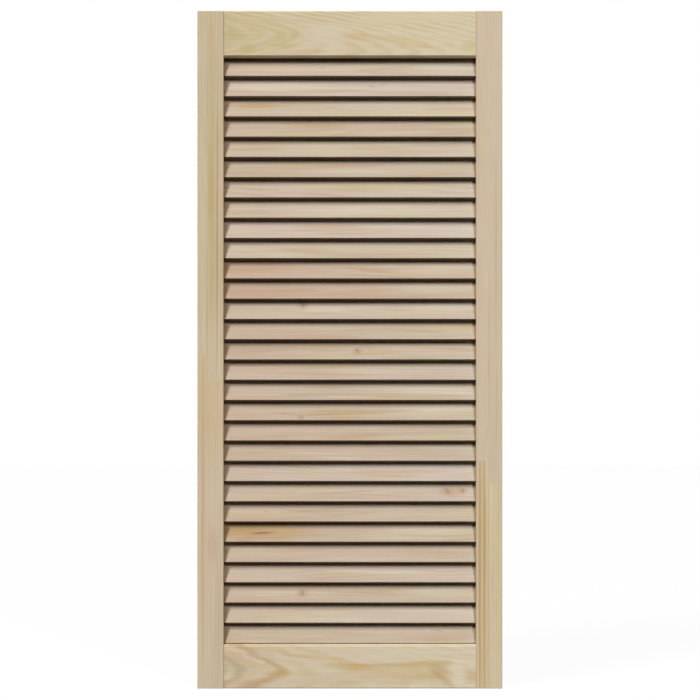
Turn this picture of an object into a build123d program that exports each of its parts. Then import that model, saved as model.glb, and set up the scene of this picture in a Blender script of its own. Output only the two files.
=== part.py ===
from build123d import *
import os
from math import cos, radians, sin, sqrt

# Louvred cabinet door in planed softwood: two full-height stiles, two rails with stub tenons,
# and a ladder of sloping slats whose ends sit in stopped housings in the stiles.
# Millimetres. +Z is up, +X runs from the hinge edge to the lock edge, and the front faces -Y.
# The origin is the middle of the hinge edge, the outer long edge of the left stile.

# Outside of the frame
door_width = 447.0
door_height = 993.0
door_thickness = 21.0
stile_width = 38.6
top_rail_height = 68.4
bottom_rail_height = 64.7

# Edges that are sanded round
outer_arris = 1.5  # along the outside of the stiles and the plain edges of the rails
inner_arris = 0.5  # along the slatted side of the stiles
end_arris = 0.5  # round the sawn ends of the stiles

# Bevels along the front edge of each rail, next to the slats
top_bevel_height = 3.3
top_bevel_depth = 2.4
bottom_bevel_height = 3.2
bottom_bevel_depth = 0.6

# Slats: both long edges bullnosed, the lower one at the front and the upper one at the back
slat_count = 29
slat_pitch = 29.71
slat_width = 35.5
slat_thickness = 4.4
slat_nose = 3.5  # radius of the bullnose, over half the thickness, so it meets the faces at a corner
slat_slope = 69.0  # degrees from the horizontal
slat_recess = 3.3  # from the front of the frame to the front of a slat
lowest_slat_gap = 0.1  # between the lowest slat and the bottom rail

# Joinery
housing_depth = 8.0
housing_clearance = 0.1  # all round a slat's end
tenon_length = 20.0
tenon_thickness = 7.0
tenon_height = 43.5
mortise_spare = 1.0  # glue room past the tenon's end
rebate_depth = 9.0  # from the back of the top rail
rebate_height = 6.5

# Worked out from the above
opening_width = door_width - 2 * stile_width
opening_bottom = bottom_rail_height - door_height / 2
opening_top = door_height / 2 - top_rail_height
bottom_rail_centre = opening_bottom - bottom_rail_height / 2
top_rail_centre = opening_top + top_rail_height / 2
nose_start = slat_width / 2 - slat_nose + sqrt(slat_nose**2 - (slat_thickness / 2) ** 2)
slat_rise = (slat_width - 2 * slat_nose) * sin(radians(slat_slope)) + 2 * slat_nose
slat_depth = 2 * nose_start * cos(radians(slat_slope)) + slat_thickness * sin(radians(slat_slope))
slat_middle = slat_recess + (slat_depth - door_thickness) / 2
slat_length = opening_width + 2 * housing_depth


def slat_heights():
    """Centre height of each slat, from the top one down."""
    lowest = opening_bottom + lowest_slat_gap + slat_rise / 2
    return [lowest + steps * slat_pitch for steps in reversed(range(slat_count))]


def section_at(x, height):
    """Place a section across the door, its first axis pointing back and its second one up."""
    return Plane(origin=(x, 0, height), x_dir=(0, 1, 0), z_dir=(1, 0, 0))


def slat_section(x, height, spare=0.0):
    """Bullnosed section of a slat, grown all round by the spare room that its housing has."""
    width = slat_width + 2 * spare
    noses = SlotOverall(width, 2 * (slat_nose + spare))
    outline = Rot(0, 0, slat_slope) * (noses & Rectangle(width, slat_thickness + 2 * spare))
    return section_at(x, height) * Pos(slat_middle, 0, 0) * outline


def stile_bar():
    """Left stile before its joints are cut, rounder outside than on its slatted side."""
    outline = Rectangle(stile_width, door_thickness)
    outline = fillet(outline.vertices().group_by(Axis.X)[0], outer_arris)
    outline = fillet(outline.vertices().group_by(Axis.X)[-1], inner_arris)
    bar = extrude(Location((stile_width / 2, 0, -door_height / 2)) * outline, door_height)
    ends = bar.faces().group_by(Axis.Z)
    return chamfer((ends[0] + ends[-1]).edges(), end_arris)


def slat_housings():
    """Stopped pockets with rounded ends, one for each slat, in the left stile."""
    floor = stile_width - housing_depth
    outlines = [slat_section(floor, height, housing_clearance) for height in slat_heights()]
    return [extrude(outline, housing_depth) for outline in outlines]


def tongue(shoulder_x, towards, length, height):
    """Block of tenon section that starts at a rail's shoulder and runs into a stile."""
    return Pos(shoulder_x + towards * length / 2, 0, height) * Box(length, tenon_thickness, tenon_height)


def left_stile():
    """Stile with its housings and a blind mortise for each rail."""
    length = tenon_length + mortise_spare
    mortises = [tongue(stile_width, -1, length, height) for height in (bottom_rail_centre, top_rail_centre)]
    return stile_bar() - slat_housings() - mortises


def right_stile():
    """The right stile is the mirror image of the left one about the door's middle."""
    return mirror(left_stile(), about=Plane.YZ.offset(door_width / 2))


def rail_section(height, bevel_height, bevel_depth):
    """Section of a rail, bevelled along its lower front edge and rounded along the other three."""
    front = -door_thickness / 2
    bottom = -height / 2
    outline = Rectangle(door_thickness, height)
    front_corners, back_corners = outline.vertices().group_by(Axis.X)
    outline = fillet([front_corners.sort_by(Axis.Y)[-1], *back_corners], outer_arris)
    waste = Polygon((front, bottom), (front + bevel_depth, bottom), (front, bottom + bevel_height), align=None)
    return outline - waste


def rail(centre, outline):
    """Rail between the stiles, with a tenon at each end."""
    board = extrude(section_at(stile_width, centre) * outline, opening_width)
    left_tenon = tongue(stile_width, -1, tenon_length, centre)
    right_tenon = tongue(stile_width + opening_width, 1, tenon_length, centre)
    return board + left_tenon + right_tenon


def top_rail():
    """Rail over the slats, rebated along its lower back edge to clear the first slat."""
    outline = rail_section(top_rail_height, top_bevel_height, top_bevel_depth)
    back = door_thickness / 2 - rebate_depth / 2
    centre = Pos(door_width / 2, back, opening_top + rebate_height / 2)
    return rail(top_rail_centre, outline) - centre * Box(opening_width, rebate_depth, rebate_height)


def bottom_rail():
    """Rail under the slats, the same way up as the top one but with its bevel on the upper edge."""
    outline = rail_section(bottom_rail_height, bottom_bevel_height, bottom_bevel_depth)
    return rail(bottom_rail_centre, mirror(outline, about=Plane.XZ))


def slat(height):
    """One slat, from the floor of one housing to the floor of the other."""
    return extrude(slat_section(stile_width - housing_depth, height), slat_length)


def door_pieces():
    """Every piece of the door by name, the slats counted from the top."""
    pieces = {
        "left_stile": left_stile(),
        "right_stile": right_stile(),
        "top_rail": top_rail(),
        "bottom_rail": bottom_rail(),
    }
    for number, height in enumerate(slat_heights(), start=1):
        pieces[f"slat_{number:02d}"] = slat(height)
    return pieces


os.makedirs("parts", exist_ok=True)
for name, piece in door_pieces().items():
    export_step(piece, f"parts/{name}.step")
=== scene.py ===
import bpy
import bmesh
import math
import random
from mathutils import Matrix, Vector


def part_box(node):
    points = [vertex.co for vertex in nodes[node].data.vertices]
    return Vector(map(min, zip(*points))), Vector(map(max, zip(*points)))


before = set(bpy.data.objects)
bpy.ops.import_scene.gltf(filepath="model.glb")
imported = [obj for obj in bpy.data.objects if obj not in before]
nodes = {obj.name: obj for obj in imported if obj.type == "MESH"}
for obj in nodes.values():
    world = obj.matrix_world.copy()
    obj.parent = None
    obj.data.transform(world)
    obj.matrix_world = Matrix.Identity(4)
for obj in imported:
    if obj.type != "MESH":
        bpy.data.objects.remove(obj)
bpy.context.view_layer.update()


def linear(hexColour):
    # one sRGB hex value to the linear colour that nodes take
    parts = [int(hexColour[i:i + 2], 16) / 255 for i in (0, 2, 4)]
    return tuple(p / 12.92 if p <= 0.04045 else ((p + 0.055) / 1.055) ** 2.4 for p in parts) + (1,)


def addNode(tree, kind, settings=None, inputs=None):
    # a node with its settings; an input is a value, another node's output, or a node for its first output
    # a Mix node takes its share at 0, then two numbers at 2 and 3, or two colours at 6 and 7 for output 2
    node = tree.nodes.new(kind)
    for name, value in (settings or {}).items():
        setattr(node, name, value)
    for name, value in (inputs or {}).items():
        if isinstance(value, bpy.types.Node):
            value = value.outputs[0]
        if isinstance(value, bpy.types.NodeSocket):
            tree.links.new(value, node.inputs[name])
        else:
            node.inputs[name].default_value = value
    return node


# camera square to the door, as far off as the photograph's perspective shows
# lengths are in metres, the sensor's in millimetres
view = {"distance": 3.1, "frameWidth": 1.0257, "centre": (0.2237, -0.00045), "sensor": 36.0, "clipEnd": 50}
doorFront = -0.0105
camData = bpy.data.cameras.new("photoCamera")
camera = bpy.data.objects.new("photoCamera", camData)
bpy.context.scene.collection.objects.link(camera)
camera.location = (view["centre"][0], doorFront - view["distance"], view["centre"][1])
camera.rotation_euler = (math.pi / 2, 0, 0)
camData.sensor_width = view["sensor"]
camData.lens = view["sensor"] * view["distance"] / view["frameWidth"]
camData.clip_end = view["clipEnd"]
bpy.context.scene.camera = camera
print("camera placed")

# lamps: azimuth is to the right of the photographer's line to the door, elevation is up, and reach is
# the width and height that each softbox takes up in the door's sky, all in degrees
# level 1 shows a white card that faces the lamp as white
lamps = {
    "keySoftbox": {"azimuth": -39.5, "elevation": 44, "reach": (12, 24), "level": 1.15},
    "fillSoftbox": {"azimuth": 24.5, "elevation": 33, "reach": (4, 16), "level": 0.42},
    "backSoftbox": {"azimuth": 205, "elevation": 2, "reach": (30, 4), "level": 0.2},
    "sideSoftbox": {"azimuth": 94, "elevation": 3, "reach": (6, 6), "level": 0.4},
}
lampDistance = 35  # metres, so far off that the whole door gets the same light
doorMiddle = Vector((0.2235, 0, 0))
for name, lamp in lamps.items():
    data = bpy.data.lights.new(name, "AREA")
    data.shape = "RECTANGLE"
    data.size, data.size_y = (2 * lampDistance * math.tan(math.radians(angle / 2)) for angle in lamp["reach"])
    data.energy = lamp["level"] * (math.pi * lampDistance) ** 2
    light = bpy.data.objects.new(name, data)
    bpy.context.scene.collection.objects.link(light)
    azimuth, elevation = math.radians(lamp["azimuth"]), math.radians(lamp["elevation"])
    outwards = math.cos(elevation)
    towards = Vector((math.sin(azimuth) * outwards, -math.cos(azimuth) * outwards, math.sin(elevation)))
    light.location = doorMiddle + towards * lampDistance
    light.rotation_euler = (-towards).to_track_quat("-Z", "Y").to_euler()
print("lamps placed")

# world: white where the camera looks past the door, and a low even light on the door itself
studio = {"backdrop": 1.0, "onTheDoor": 0.01}
world = bpy.data.worlds.new("studio")
bpy.context.scene.world = world
world.use_nodes = True
tree = world.node_tree
tree.nodes.clear()
path = addNode(tree, "ShaderNodeLightPath")
seen = addNode(tree, "ShaderNodeMath", {"operation": "MAXIMUM"}, {
    0: path.outputs["Is Camera Ray"], 1: path.outputs["Is Transmission Ray"]})
strength = addNode(tree, "ShaderNodeMix", {"data_type": "FLOAT"}, {
    0: seen, 2: studio["onTheDoor"], 3: studio["backdrop"]})
sky = addNode(tree, "ShaderNodeBackground", None, {"Color": (1, 1, 1, 1), "Strength": strength})
addNode(tree, "ShaderNodeOutputWorld", None, {"Surface": sky})

# sheet of white studio paper under the door, nearly self-lit for the camera, so that its shadow is faint
floorPaper = {"size": 12, "height": -0.4965, "selfLit": 0.96, "paper": "F4F4F2", "seenByDoor": "202020"}
sheetMesh = bmesh.new()
bmesh.ops.create_grid(sheetMesh, x_segments=1, y_segments=1, size=floorPaper["size"] / 2)
bmesh.ops.translate(sheetMesh, verts=sheetMesh.verts, vec=(doorMiddle.x, 0, floorPaper["height"]))
floorData = bpy.data.meshes.new("studioFloor")
sheetMesh.to_mesh(floorData)
sheetMesh.free()
floor = bpy.data.objects.new("studioFloor", floorData)
bpy.context.scene.collection.objects.link(floor)
paper = bpy.data.materials.new("mattStudioPaper")
paper.use_nodes = True
tree = paper.node_tree
tree.nodes.clear()
path = addNode(tree, "ShaderNodeLightPath")
matt = addNode(tree, "ShaderNodeBsdfDiffuse", None, {"Color": linear(floorPaper["paper"])})
glow = addNode(tree, "ShaderNodeEmission", None, {"Color": (1, 1, 1, 1), "Strength": 1.0})
shown = addNode(tree, "ShaderNodeMixShader", None, {0: floorPaper["selfLit"], 1: matt, 2: glow})
dull = addNode(tree, "ShaderNodeBsdfDiffuse", None, {"Color": linear(floorPaper["seenByDoor"])})
sheet = addNode(tree, "ShaderNodeMixShader", None, {0: path.outputs["Is Camera Ray"], 1: dull, 2: shown})
addNode(tree, "ShaderNodeOutputMaterial", None, {"Surface": sheet})
floorData.materials.append(paper)
print("floor laid")

# how the grain lies: after each turn the first axis runs along it, the second across it
# and the third into the board
slatSlope = math.radians(69)
grainTurns = {
    "stile": Matrix(((0, 1, 0), (0, 0, 1), (1, 0, 0))).to_euler(),
    "rail": (math.pi / 2, 0, 0),
    "slat": (slatSlope, 0, 0),
}

# planed Scots pine, bare: pale matt sapwood with warm latewood lines, silky along the grain
# each pattern's size is in millimetres, along and across the grain
pine = {
    "wander": (320, 70),   # slow sway of the growth rings
    "ripple": (60, 12),    # small waves on the rings and on the edges of every mark
    "tone": (240, 11),     # cloudy patches of straw and blush
    "fading": (130, 26),   # where the rings come and go
    "streak": (170, 2.6),  # the stripes that show from a few metres
    "fibre": (45, 0.8),    # fine fibres, drawn coarser than real ones so that they show
    "resin": (14, 0.8),    # short dark resin canals, coarser than real ones too
}
pineDetail = {"Scale": 1.0, "Detail": 1.5, "Roughness": 0.5}
patternShift = 9000  # millimetres, the most by which a board's patterns are moved away from another's

# planed surface: the harder latewood takes more of a shine and stands a little proud
planed = {
    "earlyRoughness": 0.62, "lateRoughness": 0.5, "ior": 1.45,
    "bump": 0.6, "bumpHeight": 0.00008, "lateRise": 0.5,
}

# how each pattern turns to light and dark or to a share: where it starts and stops to count, and the values
# it gives there
figure = {
    "cloud": {"From Min": 0.36, "From Max": 0.64},
    "fibre": {"From Min": 0.3, "From Max": 0.7, "To Min": 1.05, "To Max": 0.95},
    "canal": {"From Min": 0.68, "From Max": 0.76, "To Min": 1.0, "To Max": 0.88},
    "stripe": {"From Min": 0.3, "From Max": 0.7},  # its values are the board's own
    "vivid": {"From Min": 0.4, "From Max": 0.6},   # from the faint share of the board's contrast to all of it
    "summer": {"From Min": 0.2, "From Max": 0.8},  # latewood grows in over this part of a year
    "winter": {"From Min": 0.82, "From Max": 1.0, "To Min": 1.0, "To Max": 0.0},  # and stops over this one
}
faintShare = 0.25

# tones of the boards: earlywood, latewood and the pinker earlywood between the clouds
woods = {
    "cream": {"early": "D4C4B2", "late": "C6AF97", "blush": "D4BFAE"},
    "straw": {"early": "D3C3AB", "late": "C3AD8C", "blush": "D2BFA8"},
    "sand": {"early": "D1C0AA", "late": "C1AA8D", "blush": "D1BBA6"},
    "honey": {"early": "CEBBA2", "late": "BDA481", "blush": "CEB69F"},
    "amber": {"early": "CCB89E", "late": "B99C76", "blush": "CDB29A"},
    "topPine": {"early": "D7C9A6", "late": "BFA978", "blush": "D7C5A6"},
    "basePine": {"early": "D9CBAC", "late": "C8AC78", "blush": "D9C7AD"},
    "greenPine": {"early": "D0C4A4", "late": "BEA87A", "blush": "CEBEA2"},
    "rosePine": {"early": "D4C7AB", "late": "C9B38E", "blush": "D6C4A9"},
    "palePine": {"early": "CFBBA0", "late": "C1A682", "blush": "D0B89E"},
    "stripedPine": {"early": "D4C1A1", "late": "C29E6A", "blush": "D5BDA0"},
}
stains = {
    "olive": "BDAE74", "yellow": "CFBE84", "orange": "C4A060", "amber": "B98F5A", "tan": "BCA27A",
    "brown": "9A774E", "blush": "D3B79E", "rose": "C69C80", "grey": "B3A384", "pale": "DDD0B8",
    "heart": "8A6244", "halo": "BA936E", "ochre": "CBB07A", "bare": "D7C8AE", "gold": "C7B580",
    "plain": "D7CAAA",
}

# marks fade from full to nothing between these parts of their half size, and go right through a board
markFade = {"stain": (0.3, 1.3), "arch": (0.1, 1.2)}
markDepth = 90

# a knot of size 1: half length, half width and strength of each part, the push's strength being in rings
knot = {"push": (14, 6, 2.2), "halo": (9, 6, 0.42), "heart": (2.8, 4.2, 0.5), "heartTilt": 20}


def stainMask(tree, space, along, across, halfLength, halfWidth, tilt, strength):
    # how strongly one long oval mark shows: full at its middle, gone at its rim, right through the board
    start, end = markFade["stain"]
    placed = addNode(tree, "ShaderNodeMapping", {"vector_type": "TEXTURE"}, {
        "Vector": space, "Location": (along, across, 0), "Rotation": (0, 0, math.radians(tilt)),
        "Scale": (halfLength, halfWidth, markDepth)})
    reach = addNode(tree, "ShaderNodeVectorMath", {"operation": "LENGTH"}, {0: placed})
    return addNode(tree, "ShaderNodeMapRange", {"interpolation_type": "SMOOTHSTEP"}, {
        "Value": reach.outputs["Value"], "From Min": start, "From Max": end,
        "To Min": strength, "To Max": 0.0})


def archMask(tree, space, along, across, slope, blunt, halfWidth, tilt, strength):
    # how strongly one cathedral line shows: its tip is here, and its two limbs spread towards the hinge side
    # slope is how fast the limbs spread, and blunt is how far from the tip they are still round
    start, end = markFade["arch"]
    placed = addNode(tree, "ShaderNodeMapping", {"vector_type": "TEXTURE"}, {
        "Vector": space, "Location": (along, across, 0), "Rotation": (0, 0, math.radians(tilt))})
    parts = addNode(tree, "ShaderNodeSeparateXYZ", None, {0: placed})
    aside = addNode(tree, "ShaderNodeVectorMath", {"operation": "MULTIPLY_ADD"}, {
        0: placed, 1: (0, 1, 0), 2: (0, 0, blunt)})
    spread = addNode(tree, "ShaderNodeVectorMath", {"operation": "LENGTH"}, {0: aside})
    line = addNode(tree, "ShaderNodeMath", {"operation": "MULTIPLY_ADD"}, {
        0: parts.outputs["X"], 1: slope, 2: spread.outputs["Value"]})
    off = addNode(tree, "ShaderNodeMath", {"operation": "SUBTRACT"}, {0: line, 1: blunt})
    near = addNode(tree, "ShaderNodeMath", {"operation": "ABSOLUTE"}, {0: off})
    return addNode(tree, "ShaderNodeMapRange", {"interpolation_type": "SMOOTHSTEP"}, {
        "Value": near, "From Min": start * halfWidth, "From Max": end * halfWidth,
        "To Min": strength, "To Max": 0.0})


def boardColour(tree, space, board):
    # colour, height and share of latewood of one board
    # space is its own millimetres: along, across and into the grain
    wood = woods[board["wood"]]
    dice = random.Random(board["seed"])
    shift = [dice.uniform(-patternShift, patternShift) for _ in range(3)]
    loose = addNode(tree, "ShaderNodeVectorMath", {"operation": "ADD"}, {0: space, 1: shift})
    patterns = {}
    for name, (long, wide) in pine.items():
        scaled = addNode(tree, "ShaderNodeVectorMath", {"operation": "MULTIPLY"}, {
            0: loose, 1: (1 / long, 1 / wide, 1 / wide)})
        patterns[name] = addNode(tree, "ShaderNodeTexNoise", None, {"Vector": scaled, **pineDetail}).outputs

    # growth rings are shells round the pith, which leans through the board and sways; knots push them aside
    # the ripple moves a point three times as far along the grain as across it, to either side alike
    wave, swing = board["wave"], board["sway"]
    rippled = addNode(tree, "ShaderNodeVectorMath", {"operation": "MULTIPLY_ADD"}, {
        0: patterns["ripple"]["Color"], 1: (3 * wave, wave, wave), 2: space})
    settled = addNode(tree, "ShaderNodeVectorMath", {"operation": "SUBTRACT"}, {
        0: rippled, 1: (1.5 * wave, wave / 2, wave / 2)})
    swayed = addNode(tree, "ShaderNodeVectorMath", {"operation": "MULTIPLY_ADD"}, {
        0: patterns["wander"]["Color"], 1: (0, swing, swing), 2: settled})
    across, deep = board["pith"]
    leanAcross, leanDeep = board["lean"]
    pith = addNode(tree, "ShaderNodeMapping", {"vector_type": "TEXTURE"}, {
        "Vector": swayed, "Location": (0, across + swing / 2, deep + swing / 2),
        "Rotation": (0, -math.atan(leanDeep), math.atan(leanAcross))})
    flat = addNode(tree, "ShaderNodeVectorMath", {"operation": "MULTIPLY"}, {0: pith, 1: (0, 1, 1)})
    radius = addNode(tree, "ShaderNodeVectorMath", {"operation": "LENGTH"}, {0: flat})
    years = addNode(tree, "ShaderNodeMath", {"operation": "DIVIDE"}, {
        0: radius.outputs["Value"], 1: board["ring"]})
    marks = list(board.get("stains", ()))
    for knotAlong, knotAcross, size in board.get("knots", ()):
        oval = {part: (knot[part][0] * size, knot[part][1] * size) for part in ("push", "halo", "heart")}
        push = stainMask(tree, space, knotAlong, knotAcross, *oval["push"], 0, knot["push"][2])
        years = addNode(tree, "ShaderNodeMath", {"operation": "ADD"}, {0: years, 1: push})
        marks.append(("halo", knotAlong, knotAcross, *oval["halo"], 0, knot["halo"][2]))
        marks.append(("brown", knotAlong, knotAcross, *oval["heart"], knot["heartTilt"], knot["heart"][2]))
    uneven = addNode(tree, "ShaderNodeMath", {"operation": "MULTIPLY_ADD"}, {
        0: patterns["tone"]["Fac"], 1: board["uneven"], 2: years})
    year = addNode(tree, "ShaderNodeMath", {"operation": "FRACT"}, {0: uneven})
    summer = addNode(tree, "ShaderNodeMapRange", {"interpolation_type": "SMOOTHSTEP"}, {
        "Value": year, **figure["summer"]})
    winter = addNode(tree, "ShaderNodeMapRange", {"interpolation_type": "SMOOTHSTEP"}, {
        "Value": year, **figure["winter"]})
    late = addNode(tree, "ShaderNodeMath", {"operation": "MULTIPLY"}, {0: summer, 1: winter})
    vivid = addNode(tree, "ShaderNodeMapRange", None, {
        "Value": patterns["fading"]["Fac"], **figure["vivid"],
        "To Min": faintShare * board["contrast"], "To Max": board["contrast"]})
    lateShare = addNode(tree, "ShaderNodeMath", {"operation": "MULTIPLY"}, {0: late, 1: vivid})

    # colour: straw to blush in clouds, latewood lines, then this board's own marks, one layer over another
    cloud = addNode(tree, "ShaderNodeMapRange", None, {"Value": patterns["tone"]["Fac"], **figure["cloud"]})
    tones = [(cloud, linear(wood["blush"])), (lateShare, linear(wood["late"]))]
    layers = ((stainMask, board.get("calm", ())), (archMask, board.get("arches", ())), (stainMask, marks))
    for mask, layer in layers:
        tones += [(mask(tree, settled, *place), linear(stains[stain])) for stain, *place in layer]
    colour = linear(wood["early"])
    for share, tone in tones:
        mixed = addNode(tree, "ShaderNodeMix", {"data_type": "RGBA"}, {0: share, 6: colour, 7: tone})
        colour = mixed.outputs[2]

    # stripes, fibres and resin canals as light and dark
    stripe = addNode(tree, "ShaderNodeMapRange", None, {
        "Value": patterns["streak"]["Fac"], **figure["stripe"],
        "To Min": 1 + board["stripes"], "To Max": 1 - board["stripes"]})
    fibre = addNode(tree, "ShaderNodeMapRange", None, {"Value": patterns["fibre"]["Fac"], **figure["fibre"]})
    canal = addNode(tree, "ShaderNodeMapRange", None, {"Value": patterns["resin"]["Fac"], **figure["canal"]})
    shade = stripe
    for other in (fibre, canal):
        shade = addNode(tree, "ShaderNodeMath", {"operation": "MULTIPLY"}, {0: shade, 1: other})
    shaded = addNode(tree, "ShaderNodeVectorMath", {"operation": "SCALE"}, {0: colour, "Scale": shade})
    height = addNode(tree, "ShaderNodeMath", {"operation": "MULTIPLY_ADD"}, {
        0: late, 1: planed["lateRise"], 2: patterns["fibre"]["Fac"]})
    return shaded, height, late


# painted light: each piece is drawn darker and warmer towards the hinge side and paler towards the lock side,
# standing in for light that falls off across the door
paintedSideLight = {"hinge": (0.96, 0.92, 0.90), "lock": (1.03, 1.07, 1.085), "from": 0.0, "to": 0.447}

# dark lines where rails and slats meet the stiles, partly dark joints and partly painted shade: darker at the
# left ends, which the left stile shades, with a warm painted shadow over the slats' left ends and a painted
# contact shadow at their right ends; each side has the line's width in millimetres and its tint right at the
# stile, and half is the way from the piece's middle to the stile
jointAndShadeLines = {
    "rail": {"left": (1.6, (0.72, 0.72, 0.72)), "right": (1.2, (0.86, 0.86, 0.86)), "half": 184.9},
    "slat": {"left": (5.0, (0.8, 0.64, 0.38)), "right": (4.5, (0.54, 0.5, 0.43)), "half": 184.9},
}
slatPaintedShade = 0.745  # painted shade: slats are drawn this much darker than the frame, cancelling the extra light their upward-tilted faces catch
metresPerMillimetre = 0.001


def pineMaterial(name, kind, centre, boards, fingers=None):
    # one board, or an upper and a lower one, finger-jointed, where fingers are given
    material = bpy.data.materials.new(name)
    material.use_nodes = True
    tree = material.node_tree
    tree.nodes.clear()
    coords = addNode(tree, "ShaderNodeTexCoord")
    space = addNode(tree, "ShaderNodeMapping", {"vector_type": "TEXTURE"}, {
        "Vector": coords.outputs["Object"], "Location": centre, "Rotation": grainTurns[kind],
        "Scale": (metresPerMillimetre,) * 3})
    colour, height, late = boardColour(tree, space, boards[0])
    local = addNode(tree, "ShaderNodeSeparateXYZ", None, {0: space})
    if fingers:
        lowColour, lowHeight, lowLate = boardColour(tree, space, boards[1])
        finger = addNode(tree, "ShaderNodeMath", {"operation": "LESS_THAN"}, {
            0: local.outputs["Y"], 1: fingers["across"]})
        start = addNode(tree, "ShaderNodeMath", {"operation": "MULTIPLY_ADD"}, {
            0: finger, 1: fingers["length"], 2: fingers["start"]})
        below = addNode(tree, "ShaderNodeMath", {"operation": "LESS_THAN"}, {
            0: local.outputs["X"], 1: start})
        joined = addNode(tree, "ShaderNodeMix", {"data_type": "RGBA"}, {0: below, 6: colour, 7: lowColour})
        colour = joined.outputs[2]
        height = addNode(tree, "ShaderNodeMix", {"data_type": "FLOAT"}, {0: below, 2: height, 3: lowHeight})
        late = addNode(tree, "ShaderNodeMix", {"data_type": "FLOAT"}, {0: below, 2: late, 3: lowLate})
    door = addNode(tree, "ShaderNodeSeparateXYZ", None, {0: coords.outputs["Object"]})
    # painted light: darker and warmer towards the hinge side, paler towards the lock side
    overDoor = addNode(tree, "ShaderNodeMapRange", None, {
        "Value": door.outputs["X"], "From Min": paintedSideLight["from"], "From Max": paintedSideLight["to"]})
    sideLightTint = addNode(tree, "ShaderNodeMix", {"data_type": "RGBA"}, {
        0: overDoor, 6: paintedSideLight["hinge"] + (1,), 7: paintedSideLight["lock"] + (1,)})
    colour = addNode(tree, "ShaderNodeVectorMath", {"operation": "MULTIPLY"}, {0: colour, 1: sideLightTint.outputs[2]})
    # painted shade over dark joint lines at the ends of rails and slats
    if kind in jointAndShadeLines:
        half = jointAndShadeLines[kind]["half"]
        for side, way in (("left", -1), ("right", 1)):
            width, tint = jointAndShadeLines[kind][side]
            near = addNode(tree, "ShaderNodeMapRange", None, {
                "Value": local.outputs["X"], "From Min": way * (half - width), "From Max": way * half})
            line = addNode(tree, "ShaderNodeMix", {"data_type": "RGBA"}, {
                0: near, 6: (1, 1, 1, 1), 7: tint + (1,)})
            colour = addNode(tree, "ShaderNodeVectorMath", {"operation": "MULTIPLY"}, {
                0: colour, 1: line.outputs[2]})
    # painted shade: slats darkened against the frame to cancel the extra light on their upward-tilted faces
    if kind == "slat":
        colour = addNode(tree, "ShaderNodeVectorMath", {"operation": "SCALE"}, {
            0: colour, "Scale": slatPaintedShade})
    gloss = addNode(tree, "ShaderNodeMapRange", None, {
        "Value": late, "To Min": planed["earlyRoughness"], "To Max": planed["lateRoughness"]})
    bump = addNode(tree, "ShaderNodeBump", None, {
        "Strength": planed["bump"], "Distance": planed["bumpHeight"], "Height": height})
    shader = addNode(tree, "ShaderNodeBsdfPrincipled", None, {
        "Base Color": colour, "Roughness": gloss, "Normal": bump, "IOR": planed["ior"]})
    addNode(tree, "ShaderNodeOutputMaterial", None, {"Surface": shader})
    return material


def dress(name, material):
    piece = nodes[name]
    piece.data.materials.clear()
    piece.data.materials.append(material)


def middle(name):
    low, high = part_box(name)
    return (Vector(low) + Vector(high)) / 2


# every board has a wood, a seed for its patterns, how far its rings sway and wave, where its pith is, across
# and deep, how that leans along the board, the ring spacing, how uneven the rings are, the contrast of its
# latewood and the strength of its stripes; lengths are in millimetres
# its marks lie in three layers: calm ones, which hide the rings, then arches, then stains
# a calm mark or stain is a tone, its place along and across, its half length and width, its tilt and strength
# an arch is a tone, its tip along and across, how fast it spreads and how blunt it is, its half width, its
# tilt and its strength

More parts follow.
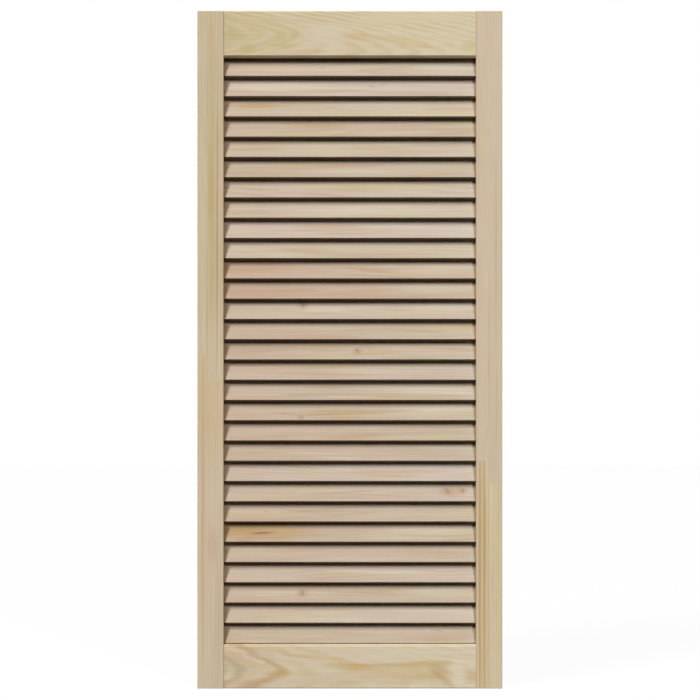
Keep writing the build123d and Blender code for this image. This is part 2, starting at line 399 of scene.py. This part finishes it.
# rails: flat-sawn boards with a cathedral figure
rails = {
    "top_rail": {
        "wood": "topPine", "seed": 11, "sway": 9, "wave": 4, "pith": (-22, -30), "lean": (-0.09, -0.095),
        "ring": 4.4, "uneven": 0.8, "contrast": 0.5, "stripes": 0.02,
        "calm": [("plain", -125, 0, 75, 34, 0, 0.65)],
        "arches": [
            ("olive", -160, -1, 0.28, 12, 5, 0, 0.45), ("gold", -132, 1, 0.22, 14, 3.5, 0, 0.5),
            ("gold", -101, -1, 0.2, 14, 3.5, 0, 0.6), ("gold", -78, 0, 0.23, 14, 3.5, 0, 0.55),
            ("gold", -52, 0, 0.24, 14, 3, 0, 0.3),
        ],
        "stains": [
            ("olive", -177, 0, 14, 9, 0, 0.6), ("yellow", -142, 6, 10, 8, 0, 0.45),
            ("olive", -101, -1, 9, 6, 0, 0.3), ("olive", -79, 0, 9, 7, 0, 0.35),
            ("gold", -98, -18, 22, 6, 0, 0.6), ("olive", -149, -20, 13, 8, 0, 0.5),
            ("bare", -36, -3, 38, 18, 0, 0.9), ("ochre", 12, -2, 20, 8, 0, 0.4),
            ("ochre", 62, -8, 60, 6, -6, 0.3), ("orange", 100, -16, 38, 6, -8, 0.2),
            ("olive", 176, -17, 14, 9, 0, 0.45),
        ],
    },
    "bottom_rail": {
        "wood": "basePine", "seed": 12, "sway": 9, "wave": 7, "pith": (-20, -50), "lean": (-0.097, -0.08),
        "ring": 5.4, "uneven": 0.9, "contrast": 0.3, "stripes": 0.02,
        "arches": [
            ("grey", -179, -2, 0.4, 12, 3.5, 0, 0.35), ("grey", -160, -5, 0.33, 20, 4.5, 0, 0.6),
            ("ochre", -140, -6, 0.4, 12, 4, -4, 0.25), ("tan", -100, -11, 0.4, 8, 6, -8, 0.7),
            ("ochre", 15, -1, 0.19, 8, 4, 3, 0.45),
        ],
        "stains": [
            ("orange", -103, -10, 22, 7, 0, 0.5), ("amber", -140, -22, 32, 5, 10, 0.4),
            ("bare", -108, 14, 40, 8, -12, 0.4), ("bare", -50, -16, 70, 10, 6, 0.7),
            ("blush", -50, -17, 50, 7, 6, 0.35), ("olive", -66, -10, 22, 6, 0, 0.3),
            ("ochre", 4, 0, 46, 6, -4, 0.35), ("orange", 10, 0, 44, 6, -4, 0.35),
            ("ochre", 85, -8, 95, 18, 0, 0.5), ("amber", 50, 3, 70, 3.5, 0, 0.3),
            ("orange", 110, 3, 45, 5, 4, 0.35), ("blush", 35, -11, 26, 9, 0, 0.5),
            ("blush", 78, -14, 20, 7, 0, 0.4), ("olive", 106, -17, 24, 6, 0, 0.35),
            ("amber", 130, -6, 18, 14, 0, 0.3), ("amber", 134, -18, 24, 6, -35, 0.45),
            ("bare", 60, 20, 90, 6, 0, 0.6), ("pale", 158, -5, 13, 19, 8, 0.65),
            ("ochre", 180, -15, 16, 11, 0, 0.75), ("olive", -7, -23, 30, 5, 0, 0.35),
        ],
    },
}
for name, board in rails.items():
    dress(name, pineMaterial(name + "Pine", "rail", middle(name), [board]))
print("rails dressed")

# stiles: rift-sawn boards, straight stripes from end to end, each made of two lengths, the upper one first
# fingers: the lower length ends at start, and on the near side of across it reaches up by the finger's length
stiles = {
    "left_stile": {
        "fingers": {"across": -3.5, "length": 38, "start": -46},
        "boards": [
            {
                "wood": "greenPine", "seed": 21, "sway": 6, "wave": 1, "pith": (-90, 40),
                "lean": (0.004, 0.01), "ring": 3.4, "uneven": 0.6, "contrast": 0.45, "stripes": 0.03,
                "stains": [
                    ("olive", 250, 2, 200, 7, 0, 0.5), ("ochre", 60, 3, 180, 6, 0, 0.4),
                    ("orange", 240, 1, 60, 6, 0, 0.3), ("pale", -20, 2, 90, 26, 0, 0.35),
                    ("brown", 190, 9.8, 250, 1.5, 0.2, 0.5), ("ochre", 200, 15, 400, 4, 0, 0.2),
                    # painted shade: the long brown line at across 20 runs down the inner edge, which faces
                    # away from the key lamp
                    ("tan", 60, -5, 120, 1.6, 0, 0.4), ("brown", 0, 20, 3000, 2.2, 0, 0.55),
                    ("orange", 450, 0, 60, 5, 0, 0.2),
                ],
            },
            {
                "wood": "rosePine", "seed": 23, "sway": 6, "wave": 1, "pith": (80, 50),
                "lean": (0.003, 0.01), "ring": 3.2, "uneven": 0.6, "contrast": 0.4, "stripes": 0.03,
                "stains": [
                    ("ochre", -70, 0, 110, 30, 0, 0.35), ("rose", -250, -11, 240, 5, 0, 0.1),
                    ("orange", -230, -10, 240, 1.3, 0, 0.4), ("rose", -260, -12.6, 240, 1.2, 0, 0.45),
                    ("rose", -286, 2, 30, 9, 0, 0.28), ("grey", -380, 11, 150, 6, 0, 0.25),
                    # painted shade: the long brown line at across 20 runs down the inner edge, which faces
                    # away from the key lamp
                    ("brown", -330, 20, 3000, 2.2, 0, 0.55),
                ],
            },
        ],
    },
    "right_stile": {
        "fingers": {"across": -2.3, "length": 34, "start": -197},
        "boards": [
            {
                "wood": "palePine", "seed": 22, "sway": 6, "wave": 1, "pith": (120, 50),
                "lean": (-0.003, 0.01), "ring": 3.6, "uneven": 0.6, "contrast": 0.25, "stripes": 0.02,
                "stains": [
                    ("tan", 160, 10, 170, 1.5, 0, 0.5), ("tan", -20, 0, 140, 1.4, 0, 0.4),
                    ("yellow", 307, -5, 36, 4, 0, 0.4), ("tan", -90, 11, 80, 1.3, 0, 0.4),
                    # painted shade: the long brown line at across -20 runs down the inner edge, next to the
                    # slats
                    ("brown", 0, -20, 3000, 2.2, 0, 0.35),
                ],
            },
            {
                "wood": "stripedPine", "seed": 24, "sway": 5, "wave": 1, "pith": (-60, 30),
                "lean": (-0.002, 0.005), "ring": 3.0, "uneven": 0.5, "contrast": 0.4, "stripes": 0.04,
                "stains": [
                    ("orange", -340, -11, 260, 8, 0, 0.45), ("brown", -330, -14, 260, 1.6, 0, 0.5),
                    ("brown", -330, -7, 260, 1.2, 0, 0.6), ("orange", -330, -1.2, 260, 1.8, 0, 0.4),
                    # painted shade: the long brown line at across -20 runs down the inner edge, next to the
                    # slats
                    ("yellow", -340, 13, 230, 3, 0, 0.3), ("brown", -330, -20, 3000, 2.2, 0, 0.35),
                ],
            },
        ],
    },
}
for name, stile in stiles.items():
    dress(name, pineMaterial(name + "Pine", "stile", middle(name), stile["boards"], stile["fingers"]))
print("stiles dressed")

# slats: thin boards cut from many places, so each has its own tone and rings
slatWoods = [
    "sand", "cream", "straw", "honey", "straw", "honey", "sand", "straw", "cream", "straw",
    "amber", "amber", "sand", "honey", "honey", "sand", "sand", "honey", "honey", "honey",
    "cream", "sand", "honey", "amber", "honey", "sand", "honey", "straw", "honey",
]
# knots by slat: place along and across, and size
slatKnots = {
    13: [(-69, 4, 1.1)],
    15: [(11, -4, 1.1)],
    22: [(143, -2, 1.2), (165, -1, 0.8)],
    27: [(-70, -3, 1.2)],
}
slatStains = {
    1: [("rose", -41, -4, 5, 1.5, 0, 0.5)],
    2: [
        ("pale", -110, -3, 90, 9, 0, 0.85), ("tan", 32, -1, 9, 1.6, -15, 0.5),
        ("tan", 49, 1, 9, 1.6, 15, 0.5),
    ],
    3: [("orange", -138, 0, 44, 4.5, 0, 0.75), ("rose", -26, -3, 6, 1.5, 0, 0.5)],
    11: [("rose", -150, 0, 90, 9, 0, 0.55), ("pale", 120, 0, 80, 9, 0, 0.4)],
    12: [("rose", -150, -4, 90, 9, 0, 0.36), ("pale", 120, 0, 80, 9, 0, 0.4)],
    13: [("pale", -40, -3, 40, 6, 0, 0.5), ("pale", 130, -2, 60, 9, 0, 0.5)],
    15: [
        ("tan", -110, -3, 60, 1.3, 3, 0.6), ("tan", -60, -1, 40, 1.3, -4, 0.5),
        ("rose", 22, 1, 18, 3, 0, 0.4),
    ],
    17: [("pale", 120, -3, 80, 9, 0, 0.5)],
    18: [
        ("pale", 130, 0, 70, 9, 0, 0.5), ("orange", -10, -5, 60, 5, 0, 0.55),
        ("brown", -45, -9, 40, 1.6, 2, 0.4), ("tan", 40, -6, 60, 1.4, 4, 0.5),
        ("brown", -72, -12.5, 6, 4, -20, 0.4), ("tan", -90, -8, 20, 2, -8, 0.5),
    ],
    21: [("yellow", -62, -2, 30, 5, 0, 0.4)],
    22: [
        ("rose", 150, -2, 26, 8, 0, 0.5), ("tan", 0, -3, 70, 1.4, 4, 0.5),
        ("tan", 20, -7, 60, 1.3, -3, 0.4),
    ],
    23: [
        ("tan", -50, 0, 60, 1.4, 5, 0.5), ("tan", 10, -5, 60, 1.4, 4, 0.4),
        ("rose", -124, -2, 5, 1.5, 0, 0.5), ("rose", 99, 0, 5, 1.5, 0, 0.5),
    ],
    24: [
        ("orange", -140, 0, 90, 15, 0, 0.7), ("amber", -160, 2, 50, 6, 0, 0.45),
        ("heart", -128, -4, 19, 2, 3, 0.8), ("pale", 110, 0, 80, 10, 0, 0.5),
    ],
    27: [("tan", -20, -1, 90, 1.4, -2, 0.5), ("pale", 130, -2, 70, 8, 0, 0.5)],
    29: [("rose", 129, 2, 10, 3, 0, 0.5)],
}

# every slat also gets a few long faint streaks of other tones, as sapwood has, drawn from these ranges
slatStreaks = {
    "count": 6, "tones": ("blush", "rose", "tan", "yellow", "pale", "orange"),
    # place along and across, half length, half width, tilt and strength
    "ranges": ((-170, 170), (-14, 4), (30, 100), (1.5, 5), (-2, 2), (0.2, 0.5)),
}
# and its rings are drawn from these ranges; the pith lies as deep as that in front of the slat or behind it
slatRings = {
    "sway": (4, 12), "wave": (1, 3), "pithAcross": (-60, 60), "pithDeep": (12, 60),
    "leanAcross": (-0.03, 0.03), "leanDeep": (-0.04, 0.04), "ring": (2.4, 4.2), "uneven": 0.8,
    "contrast": (0.4, 0.75), "stripes": 0.045,
}
slatSeeds = {"draws": 5, "patterns": 100}
dice = random.Random(slatSeeds["draws"])
for number, wood in enumerate(slatWoods, start=1):
    name = "slat_%02d" % number
    streaks = [
        (dice.choice(slatStreaks["tones"]), *(dice.uniform(low, high) for low, high in slatStreaks["ranges"]))
        for _ in range(slatStreaks["count"])
    ]
    board = {
        "wood": wood, "seed": slatSeeds["patterns"] + number,
        "sway": dice.uniform(*slatRings["sway"]), "wave": dice.uniform(*slatRings["wave"]),
        "pith": (
            dice.uniform(*slatRings["pithAcross"]),
            dice.choice((-1, 1)) * dice.uniform(*slatRings["pithDeep"]),
        ),
        "lean": (dice.uniform(*slatRings["leanAcross"]), dice.uniform(*slatRings["leanDeep"])),
        "ring": dice.uniform(*slatRings["ring"]), "uneven": slatRings["uneven"],
        "contrast": dice.uniform(*slatRings["contrast"]), "stripes": slatRings["stripes"],
        "knots": slatKnots.get(number, []), "stains": streaks + slatStains.get(number, []),
    }
    dress(name, pineMaterial("slat%02dPine" % number, "slat", middle(name), [board]))
print("slats dressed")

bpy.context.scene.view_settings.view_transform = "Standard"
